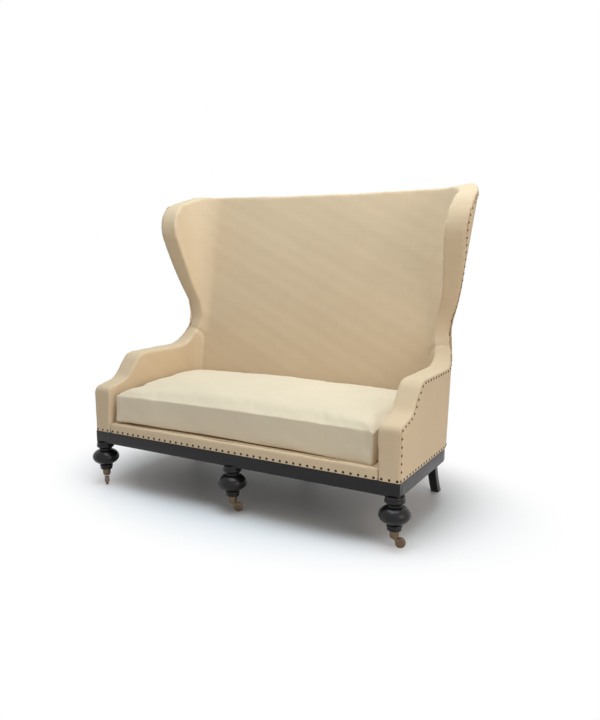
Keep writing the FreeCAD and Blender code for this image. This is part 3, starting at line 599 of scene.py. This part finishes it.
class SETTEE_OT_seat_cushion(Operator):
    """Fill the loose seat cushion"""

    bl_idname = "settee.seat_cushion"
    bl_label = "Seat cushion"

    def execute(self, context):
        sizes = context.scene.settee_upholstery
        cushion = merged_copy("seat_cushion", "seat_cushion_cover")
        remesh(cushion, sizes.cushion_voxel)
        relax(cushion, 2)
        swell(cushion, np.full(len(cushion.data.vertices), -sizes.cushion_start_inset))
        fill_with_air(cushion, sizes.cushion_pressure, sizes.cushion_swell)
        apply_modifier(cushion, "SUBSURF", levels=1, render_levels=1)
        self.settle(cushion)
        # The cushion's calico is a paler copy of the same cloth: painted light for its brightly lit
        # top
        finish_piece(cushion, "cushion", "calico", calico("cushion"), "seat_cushion")
        return {"FINISHED"}

    def settle(self, cushion):
        """Droops the cushion's front, tucks its corners and keeps it in its place."""
        points = points_of(cushion)
        x, y, z = points.T
        front = 1.0 - smooth_step(*FRONT_FADE, y)
        low = 1.0 - smooth_step(*LOW_FADE, z)
        left_end = 1.0 - smooth_step(*LEFT_FADE, x)
        right_end = smooth_step(*RIGHT_FADE, x)
        sag = np.sin(x * SAG_TURN + SAG_SHIFT) * np.sin(x * SLOW_TURN + SLOW_SHIFT)
        points[:, 0] += SHIFT_RIGHT * right_end - SHIFT_LEFT * left_end
        points[:, 1] -= front * (BULGE + BULGE_LOW * low + BULGE_LEFT * left_end)
        points[:, 2] -= front * low * (DROOP + DROOP_WAVE * sag + DROOP_RIGHT * right_end)
        fold = np.exp(-((x - FOLD_PLACE) / FOLD_WIDTH) ** 2)
        points[:, 1] += FOLD_DEPTH * fold * front * smooth_step(*FOLD_FADE, z)
        corner = smooth_step(*CORNER_FADE, x) * front
        points[:, 2] -= CORNER_DROP * corner * smooth_step(*CORNER_RISE, z)
        on_deck = y > DECK_FRONT
        points[on_deck, 2] = np.maximum(points[on_deck, 2], CUSHION_LOW.z + DECK_GAP)
        place_points(cushion, points)
        waves = soft_waves(points, CUSHION_WAVES)
        swell(cushion, waves * smooth_step(*WAVE_FADE, points[:, 2]))


def eased(node, name, width, joints=(), segments=3):
    """Copy of a CAD node with its edges rounded, but for those in the joints' planes.
    A joint is an axis number and the distance from the middle along it."""
    piece = merged_copy(node, name)
    pick(piece)
    bpy.ops.object.mode_set(mode="EDIT")
    bpy.ops.mesh.select_all(action="SELECT")
    bpy.ops.mesh.dissolve_limited(angle_limit=math.radians(0.5))
    bpy.ops.object.mode_set(mode="OBJECT")
    shape = bmesh.new()
    shape.from_mesh(piece.data)
    weight = shape.edges.layers.float.new("bevel_weight_edge")
    for edge in shape.edges:
        sharp = len(edge.link_faces) == 2 and edge.calc_face_angle() > math.radians(28)
        for axis, place in joints:
            if all(abs(v.co[axis] - place) < 1e-4 for v in edge.verts):
                sharp = False
        edge[weight] = 1.0 if sharp else 0.0
    shape.to_mesh(piece.data)
    shape.free()
    apply_modifier(piece, "BEVEL", width=width, segments=segments, limit_method="WEIGHT")
    pick(piece)
    bpy.ops.object.shade_smooth_by_angle(angle=math.radians(32))
    return piece


class SETTEE_OT_plinth(Operator):
    """Ease and polish the plinth's rails"""

    bl_idname = "settee.plinth"
    bl_label = "Plinth"

    def execute(self, context):
        edge = context.scene.settee_wood.edge
        front_joint = (1, PLINTH_HIGH.y)
        rear_joint = (1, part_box("plinth_right")[1].y)
        back_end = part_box("plinth_back")[1].x
        joints = (front_joint, rear_joint, (0, back_end), (0, -back_end))
        for part in ("front", "back", "left", "right", "corner_left", "corner_right"):
            node = "plinth_" + part
            rail = eased(node, "polished_" + node, edge, joints)
            finish_piece(rail, "frame", "ebonised_wood", ebonised(), node)
        return {"FINISHED"}


def arc_points(start, bulge, end, steps):
    """Points of the arc from start to end through the middle moved by bulge."""
    middle = ((start[0] + end[0]) / 2 + bulge[0], (start[1] + end[1]) / 2 + bulge[1])
    ax, ay = start
    bx, by = middle
    cx, cy = end
    start_square = ax * ax + ay * ay
    middle_square = bx * bx + by * by
    end_square = cx * cx + cy * cy
    double_area = 2 * (ax * (by - cy) + bx * (cy - ay) + cx * (ay - by))
    ux = (start_square * (by - cy) + middle_square * (cy - ay) + end_square * (ay - by)) / double_area
    uy = (start_square * (cx - bx) + middle_square * (ax - cx) + end_square * (bx - ax)) / double_area
    radius = math.hypot(ax - ux, ay - uy)
    first = math.atan2(ay - uy, ax - ux)
    half = math.remainder(math.atan2(by - uy, bx - ux) - first, 2 * math.pi)
    turns = [first + 2 * half * i / steps for i in range(1, steps + 1)]
    return [(ux + radius * math.cos(t), uy + radius * math.sin(t)) for t in turns]


def squashed_ball(middle, radius, half_height, first, last, steps):
    """Points up a ball's outline from the radius first to the radius last."""
    start = -math.acos(first / radius)
    end = math.acos(last / radius)
    turns = [start + (end - start) * i / steps for i in range(1, steps + 1)]
    return [(radius * math.cos(t), middle + half_height * math.sin(t)) for t in turns]


def turning(name, centre, profile, sides):
    """Closed solid turned round an upright axis from (radius, height) points, low to high."""
    deselect_all()
    radius, height = profile[0]
    bpy.ops.mesh.primitive_circle_add(
        vertices=sides, radius=radius, fill_type="NGON", location=(centre[0], centre[1], height))
    piece = bpy.context.object
    piece.name = name
    bpy.ops.object.transform_apply(location=True, rotation=False, scale=False)
    bpy.ops.object.mode_set(mode="EDIT")
    bpy.ops.mesh.select_all(action="SELECT")
    for (r0, z0), (r1, z1) in zip(profile, profile[1:]):
        bpy.ops.mesh.extrude_region_move(TRANSFORM_OT_translate={"value": (0, 0, z1 - z0)})
        if abs(r1 - r0) > 1e-7:
            factor = r1 / r0
            bpy.ops.transform.resize(
                value=(factor, factor, 1), center_override=(centre[0], centre[1], z1))
    bpy.ops.mesh.select_all(action="SELECT")
    bpy.ops.mesh.normals_make_consistent(inside=False)
    bpy.ops.object.mode_set(mode="OBJECT")
    bpy.ops.object.shade_smooth_by_angle(angle=math.radians(38))
    return piece


def leg_profile():
    """Outline of a front leg from its castor cup up to the plinth."""
    top = PLINTH_LOW.z
    collar_low = top - 0.028
    ball_top = collar_low - 0.009
    ball_low = ball_top - 0.071
    foot_low = ball_low - 0.015
    cup_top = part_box("castor_cup_left")[1].z
    foot = (0.0255, cup_top + 0.0003)
    ring_low = (0.0245, foot_low - 0.0006)
    neck_low = 0.0272
    neck_top = 0.0290
    ball_radius = 0.0605
    ball_half_height = 0.0385
    profile = [(0.0145, cup_top - 0.004), (0.0145, cup_top + 0.0003), foot]
    profile += arc_points(foot, (0.0016, 0.0), (0.0262, foot_low - 0.0012), 8)
    profile += [ring_low]
    profile += arc_points(ring_low, (0.0045, 0.0), (0.0262, ball_low - 0.0015), 12)
    profile += [(neck_low, ball_low)]
    profile += squashed_ball(
        (ball_low + ball_top) / 2, ball_radius, ball_half_height, neck_low, neck_top, 40)
    profile += arc_points((neck_top, ball_top), (-0.0012, 0.0), (0.0312, collar_low), 6)
    profile += arc_points((0.0312, collar_low), (0.0052, -0.0012), (0.0372, top - 0.0125), 10)
    profile += arc_points((0.0372, top - 0.0125), (0.0014, 0.0), (0.0362, top - 0.0012), 8)
    profile += [(0.0350, top - 0.0002)]
    return profile


class SETTEE_OT_turned_legs(Operator):
    """Turn the front legs"""

    bl_idname = "settee.turned_legs"
    bl_label = "Turned legs"

    def execute(self, context):
        sides = context.scene.settee_wood.turning_sides
        for side in SIDES:
            low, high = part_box("leg_front_" + side)
            centre = ((low.x + high.x) / 2, (low.y + high.y) / 2)
            leg = turning("turned_leg_" + side, centre, leg_profile(), sides)
            finish_piece(leg, "frame", "ebonised_wood", ebonised(), "leg_front_" + side)
        return {"FINISHED"}


class SETTEE_OT_sabre_legs(Operator):
    """Ease and polish the rear legs"""

    bl_idname = "settee.sabre_legs"
    bl_label = "Sabre legs"

    def execute(self, context):
        edge = context.scene.settee_wood.edge
        for side in SIDES:
            leg = eased("leg_rear_" + side, "sabre_leg_" + side, edge)
            finish_piece(leg, "frame", "ebonised_wood", ebonised(), "leg_rear_" + side)
        return {"FINISHED"}


class SETTEE_OT_castors(Operator):
    """Finish the castors"""

    bl_idname = "settee.castors"
    bl_label = "Castors"

    def execute(self, context):
        edge = context.scene.settee_wood.metal_edge
        bodies = {"cup": "frame", "fork": "castor_", "axle": "castor_", "wheel": "wheel_"}
        for side in SIDES:
            for part, body in bodies.items():
                node = "castor_" + part + "_" + side
                piece = eased(node, "castor_" + part + "_finished_" + side, edge, segments=2)
                owner = body if body == "frame" else body + side
                slot = "castor_wheel" if part == "wheel" else "castor_brass"
                finish_piece(piece, owner, slot, castor_metal(slot), node)
        return {"FINISHED"}


class SETTEE_OT_nails_and_frame(Operator):
    """Give the nails, the webbing and the hidden frame their finishes"""

    bl_idname = "settee.nails_and_frame"
    bl_label = "Nails and frame"

    def execute(self, context):
        finishes = {
            "nail_heads": nail_metal, "frame_timber": timber,
            "jute_webbing": webbing, "black_cambric": cambric,
        }
        for part in frame["record"]["subparts"]:
            make = finishes.get(part["material_slot"])
            if make:
                mesh = NODES[part["node"]].data
                mesh.materials.clear()
                mesh.materials.append(make())
        return {"FINISHED"}


# Finishes

# Sockets of the Mix node that a colour uses
MIX_SHARE = 0
MIX_FIRST = 6
MIX_SECOND = 7
MIX_COLOUR = 2


class Number:
    """A node's output, in sums with numbers and with other outputs."""

    def __init__(self, finish, socket):
        self.finish = finish
        self.socket = socket

    def maths(self, operation, first, second):
        return self.finish.node("ShaderNodeMath", {"operation": operation}, {0: first, 1: second})

    def __add__(self, other):
        return self.maths("ADD", self, other)

    def __radd__(self, other):
        return self.maths("ADD", other, self)

    def __mul__(self, other):
        return self.maths("MULTIPLY", self, other)

    def __rmul__(self, other):
        return self.maths("MULTIPLY", other, self)


class Finish:
    """A material whose nodes are written as expressions."""

    def __init__(self, name, **surface):
        self.material = bpy.data.materials.new(name)
        self.material.use_nodes = True
        self.tree = self.material.node_tree
        self.surface = self.tree.nodes["Principled BSDF"]
        for socket, value in surface.items():
            self.surface.inputs[socket.replace("_", " ")].default_value = value

    def node(self, kind, settings=None, inputs=None, output=0):
        """Adds a node with its settings, then its inputs as values or links."""
        node = self.tree.nodes.new(kind)
        for name, value in (settings or {}).items():
            setattr(node, name, value)
        for key, value in (inputs or {}).items():
            self.feed(node.inputs[key], value)
        return Number(self, node.outputs[output])

    def feed(self, socket, value):
        if isinstance(value, Number):
            self.tree.links.new(value.socket, socket)
        elif socket.type == "RGBA" and len(value) == 3:
            socket.default_value = (*value, 1.0)
        else:
            socket.default_value = value

    def give(self, name, value):
        self.feed(self.surface.inputs[name], value)

    def place(self, scale=(1.0, 1.0, 1.0)):
        """Object coordinates, scaled."""
        where = self.node("ShaderNodeTexCoord", output="Object")
        return self.node("ShaderNodeMapping", None, {"Vector": where, "Scale": scale})

    def noise(self, place, scale, detail=3.0, roughness=0.5):
        inputs = {"Vector": place, "Scale": scale, "Detail": detail, "Roughness": roughness}
        return self.node("ShaderNodeTexNoise", None, inputs, "Fac")

    def wave(self, place, scale, axis):
        settings = {"wave_type": "BANDS", "bands_direction": axis}
        return self.node("ShaderNodeTexWave", settings, {"Vector": place, "Scale": scale}, "Fac")

    def tint(self, share, first, second):
        """Colour between the first and the second, by the share of the second."""
        inputs = {MIX_SHARE: share, MIX_FIRST: first, MIX_SECOND: second}
        return self.node("ShaderNodeMix", {"data_type": "RGBA"}, inputs, MIX_COLOUR)

    def bump(self, height, distance, strength=1.0):
        inputs = {"Height": height, "Distance": distance, "Strength": strength}
        self.give("Normal", self.node("ShaderNodeBump", None, inputs, "Normal"))


made = {}


def once(maker):
    """Each finish is made the first time it is asked for, and then shared."""
    def ask(*key):
        if (maker.__name__, key) not in made:
            made[(maker.__name__, key)] = maker(*key)
        return made[(maker.__name__, key)]
    return ask


@once
def calico(colour):
    """Plain weave cotton: crossing threads, slubs and a faint uneven shade."""
    # For the cushion this colour is a paler copy of the calico: painted light for its lit top
    base = tuple(getattr(bpy.context.scene.settee_colours, colour))
    finish = Finish(colour + "_cloth", Roughness=0.9, Sheen_Weight=0.15, Sheen_Roughness=0.4)
    finish.surface.inputs["Specular IOR Level"].default_value = 0.2
    warp = finish.noise(finish.place((700.0, 700.0, 30.0)), 1.0)
    weft = finish.noise(finish.place((30.0, 30.0, 700.0)), 1.0)
    weave = warp + weft
    streaks = finish.noise(finish.place((90.0, 90.0, 2.5)), 1.0) * 0.5
    slubs = finish.noise(finish.place((2.5, 2.5, 110.0)), 1.0) * 0.5 + streaks
    clouds = finish.noise(finish.place(), 2.2, 4.0)
    darker = tuple(channel * 0.86 for channel in base)
    lighter = tuple(min(1.0, channel * 1.08) for channel in base)
    shade = clouds * 0.6 + slubs * 0.4
    finish.give("Base Color", finish.tint(shade, darker, lighter))
    finish.bump(weave * 0.12 + slubs * 0.7, 0.0006)
    return finish.material


@once
def ebonised():
    """Black stain under a gloss polish, with a faint grain and rubbed wear."""
    base = tuple(bpy.context.scene.settee_colours.ebonised)
    finish = Finish("ebonised_polish", Roughness=0.28, Coat_Weight=0.12, Coat_Roughness=0.1)
    finish.surface.inputs["Specular IOR Level"].default_value = 0.22
    grain = finish.noise(finish.place((3.0, 60.0, 60.0)), 1.0, 5.0)
    clouds = finish.noise(finish.place(), 6.0)
    warmer = (base[0] * 2.6, base[1] * 2.1, base[2] * 1.9)
    finish.give("Base Color", finish.tint(grain * 0.6 + clouds * 0.2, base, warmer))
    finish.give("Roughness", 0.2 + clouds * 0.22)
    finish.bump(grain, 0.0004, 0.35)
    return finish.material


@once
def castor_metal(slot):
    """Old cast metal, darker and duller in patches."""
    colours = bpy.context.scene.settee_colours
    base = tuple(colours.wheel if slot == "castor_wheel" else colours.brass)
    finish = Finish(slot + "_metal", Metallic=0.8, Roughness=0.45)
    patches = finish.noise(finish.place(), 90.0, 5.0, 0.65)
    dull = tuple(channel * 0.45 for channel in base)
    finish.give("Base Color", finish.tint(patches, base, dull))
    finish.give("Roughness", 0.3 + patches * 0.35)
    finish.bump(patches, 0.0006, 0.5)
    return finish.material


@once
def nail_metal():
    """Dark antique nail heads, rubbed bright in spots."""
    base = tuple(bpy.context.scene.settee_colours.nails)
    finish = Finish("nail_metal", Metallic=0.5, Roughness=0.42)
    rubbed = finish.noise(finish.place(), 160.0, 3.0)
    bright = tuple(channel * 2.4 for channel in base)
    finish.give("Base Color", finish.tint(rubbed * 0.7, base, bright))
    finish.give("Roughness", 0.28 + rubbed * 0.25)
    return finish.material


@once
def timber():
    """Planed hardwood with a straight grain."""
    base = tuple(bpy.context.scene.settee_colours.timber)
    finish = Finish("frame_timber", Roughness=0.6)
    grain = finish.noise(finish.place((4.0, 70.0, 70.0)), 1.0, 6.0, 0.6)
    dark = tuple(channel * 0.6 for channel in base)
    finish.give("Base Color", finish.tint(grain, base, dark))
    finish.bump(grain, 0.0005, 0.4)
    return finish.material


@once
def webbing():
    """Coarse jute straps."""
    base = tuple(bpy.context.scene.settee_colours.jute)
    finish = Finish("jute_webbing", Roughness=0.95)
    place = finish.place()
    weave = finish.wave(place, 160.0, "X") * finish.wave(place, 160.0, "Y")
    dark = tuple(channel * 0.5 for channel in base)
    finish.give("Base Color", finish.tint(weave, dark, base))
    finish.bump(weave, 0.001)
    return finish.material


@once
def cambric():
    """Thin black dust cloth."""
    base = tuple(bpy.context.scene.settee_colours.cambric)
    finish = Finish("black_cambric", Roughness=0.95)
    place = finish.place()
    weave = finish.wave(place, 300.0, "X") * finish.wave(place, 300.0, "Y")
    pale = tuple(channel * 2.0 for channel in base)
    finish.give("Base Color", finish.tint(weave * 0.5, base, pale))
    finish.bump(weave, 0.0004)
    return finish.material


# Stage

SEEN_RAYS = ("Is Camera Ray", "Is Glossy Ray", "Is Transmission Ray")
LAMP_AIM = Vector((0.0, 0.0, 0.55))
TOP_LAMP = {"place": (0.25, -0.2, 3.3), "size": 2.3, "colour": (0.78, 0.91, 1.0)}
SIDE_LAMP = {"place": (3.6, -1.2, 1.7), "size": 2.2, "colour": (1.0, 0.90, 0.78)}
SKY_COLOUR = (1.0, 0.97, 0.92, 1.0)
FLOOR_SIZE = 60.0
FILM_WIDTH = 36.0

# The floor fades to white over an oval round the settee
FADE_STRETCH = (0.52, 0.8, 1.0)
FADE_START = 0.38
FADE_END = 0.68


def join_rays(tree, names):
    """1 for a ray of any of the named kinds, else 0."""
    rays = tree.nodes.new("ShaderNodeLightPath")
    found = rays.outputs[names[0]]
    for name in names[1:]:
        either = tree.nodes.new("ShaderNodeMath")
        either.operation = "MAXIMUM"
        tree.links.new(found, either.inputs[0])
        tree.links.new(rays.outputs[name], either.inputs[1])
        found = either.outputs[0]
    return found


def add_lamp(name, power, place, size, colour):
    deselect_all()
    bpy.ops.object.light_add(type="AREA", location=place)
    lamp = bpy.context.object
    lamp.name = name
    lamp.data.shape = "SQUARE"
    lamp.data.size = size
    lamp.data.energy = power
    lamp.data.color = colour
    aim = LAMP_AIM - Vector(place)
    lamp.rotation_euler = aim.to_track_quat("-Z", "Y").to_euler()


class SETTEE_OT_stage(Operator):
    """Set up the floor, the lamps and the camera"""

    bl_idname = "settee.stage"
    bl_label = "Stage"

    def execute(self, context):
        settings = context.scene.settee_stage
        self.add_camera(context, settings)
        self.add_floor(context)
        self.light_sky(context, settings)
        add_lamp("top_lamp", settings.top_lamp, **TOP_LAMP)
        add_lamp("side_lamp", settings.side_lamp, **SIDE_LAMP)
        context.scene.view_settings.view_transform = "Standard"
        return {"FINISHED"}

    def add_camera(self, context, settings):
        deselect_all()
        turn = (math.pi / 2 - settings.camera_tilt, 0.0, settings.camera_turn)
        bpy.ops.object.camera_add(location=tuple(settings.camera_place), rotation=turn)
        camera = context.object
        camera.data.sensor_width = FILM_WIDTH
        camera.data.lens = settings.camera_lens
        context.scene.camera = camera

    def add_floor(self, context):
        deselect_all()
        bpy.ops.mesh.primitive_plane_add(size=FLOOR_SIZE, location=(0, 0, 0))
        floor = context.object
        floor.name = "studio_floor"
        finish = Finish("studio_floor", Roughness=0.5)
        finish.give("Base Color", tuple(context.scene.settee_colours.floor))
        finish.surface.inputs["Specular IOR Level"].default_value = 0.3
        tree = finish.tree
        place = finish.place(FADE_STRETCH)
        far = finish.node("ShaderNodeVectorMath", {"operation": "LENGTH"}, {0: place}, "Value")
        settings = {"interpolation_type": "SMOOTHSTEP"}
        reach = {"Value": far, "From Min": FADE_START, "From Max": FADE_END}
        fade = finish.node("ShaderNodeMapRange", settings, reach)
        share = fade * Number(finish, join_rays(tree, SEEN_RAYS))
        white = finish.node("ShaderNodeEmission", None, {"Color": (1.0, 1.0, 1.0), "Strength": 1.0})
        lit = Number(finish, finish.surface.outputs[0])
        mix = finish.node("ShaderNodeMixShader", None, {0: share, 1: lit, 2: white})
        tree.links.new(mix.socket, tree.nodes["Material Output"].inputs["Surface"])
        floor.data.materials.append(finish.material)

    def light_sky(self, context, settings):
        world = bpy.data.worlds.new("studio_sky")
        world.use_nodes = True
        context.scene.world = world
        tree = world.node_tree
        tree.nodes.clear()
        output = tree.nodes.new("ShaderNodeOutputWorld")
        seen = tree.nodes.new("ShaderNodeBackground")
        seen.inputs["Color"].default_value = (1.0, 1.0, 1.0, 1.0)
        even = tree.nodes.new("ShaderNodeBackground")
        even.inputs["Color"].default_value = SKY_COLOUR
        even.inputs["Strength"].default_value = settings.sky
        mix = tree.nodes.new("ShaderNodeMixShader")
        tree.links.new(join_rays(tree, SEEN_RAYS), mix.inputs[0])
        tree.links.new(even.outputs[0], mix.inputs[1])
        tree.links.new(seen.outputs[0], mix.inputs[2])
        tree.links.new(mix.outputs[0], output.inputs[0])


BUILDERS = (
    SETTEE_OT_stage,
    SETTEE_OT_inside_covers,
    SETTEE_OT_outside_panels,
    SETTEE_OT_front_border,
    SETTEE_OT_seat_cushion,
    SETTEE_OT_plinth,
    SETTEE_OT_turned_legs,
    SETTEE_OT_sabre_legs,
    SETTEE_OT_castors,
    SETTEE_OT_nails_and_frame,
)


class SETTEE_PT_panel(Panel):
    """Buttons that build the settee"""

    bl_idname = "SETTEE_PT_panel"
    bl_label = "High back settee"
    bl_space_type = "VIEW_3D"
    bl_region_type = "UI"
    bl_category = "Settee"

    def draw(self, context):
        for builder in BUILDERS:
            self.layout.operator(builder.bl_idname)


CLASSES = (*GROUPS.values(), *BUILDERS, SETTEE_PT_panel)


def register():
    for kind in CLASSES:
        bpy.utils.register_class(kind)
    for name, group in GROUPS.items():
        setattr(bpy.types.Scene, name, PointerProperty(type=group))


def unregister():
    for name in GROUPS:
        delattr(bpy.types.Scene, name)
    for kind in reversed(CLASSES):
        bpy.utils.unregister_class(kind)


def main():
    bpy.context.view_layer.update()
    register()
    for builder in BUILDERS:
        group, name = builder.bl_idname.split(".")
        getattr(getattr(bpy.ops, group), name)()


if __name__ == "__main__":
    main()
